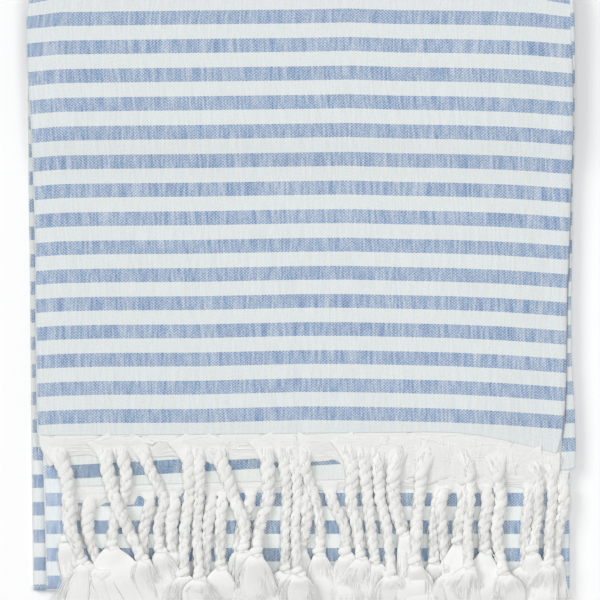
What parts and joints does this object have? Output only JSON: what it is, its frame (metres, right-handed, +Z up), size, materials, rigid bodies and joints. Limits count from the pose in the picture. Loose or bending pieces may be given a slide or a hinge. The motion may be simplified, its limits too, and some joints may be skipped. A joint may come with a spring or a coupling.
{
  "type": "hammam towel",
  "caption": "Folded striped cotton hammam towel with knotted cord fringes, lying flat with one fringed end on top.",
  "frame": {"origin": "centre of the folded towel's footprint, on the surface it lies on", "axes": "+X along the stripes to the right, +Y from the visible fringe to the back fold, +Z up"},
  "size_m": [0.254, 0.2908, 0.0136],
  "materials": {
    "woven_cotton": "matte plain weave, narrow blue and white weft stripes",
    "twisted_cotton": "matte undyed two-ply cord"
  },
  "bodies": {
    "root": {"towel_cloth": "woven_cotton", "fringe_upper": "twisted_cotton", "fringe_lower": "twisted_cotton", "fringe_inner_upper": "twisted_cotton", "fringe_inner_lower": "twisted_cotton"}
  },
  "joints": []
}
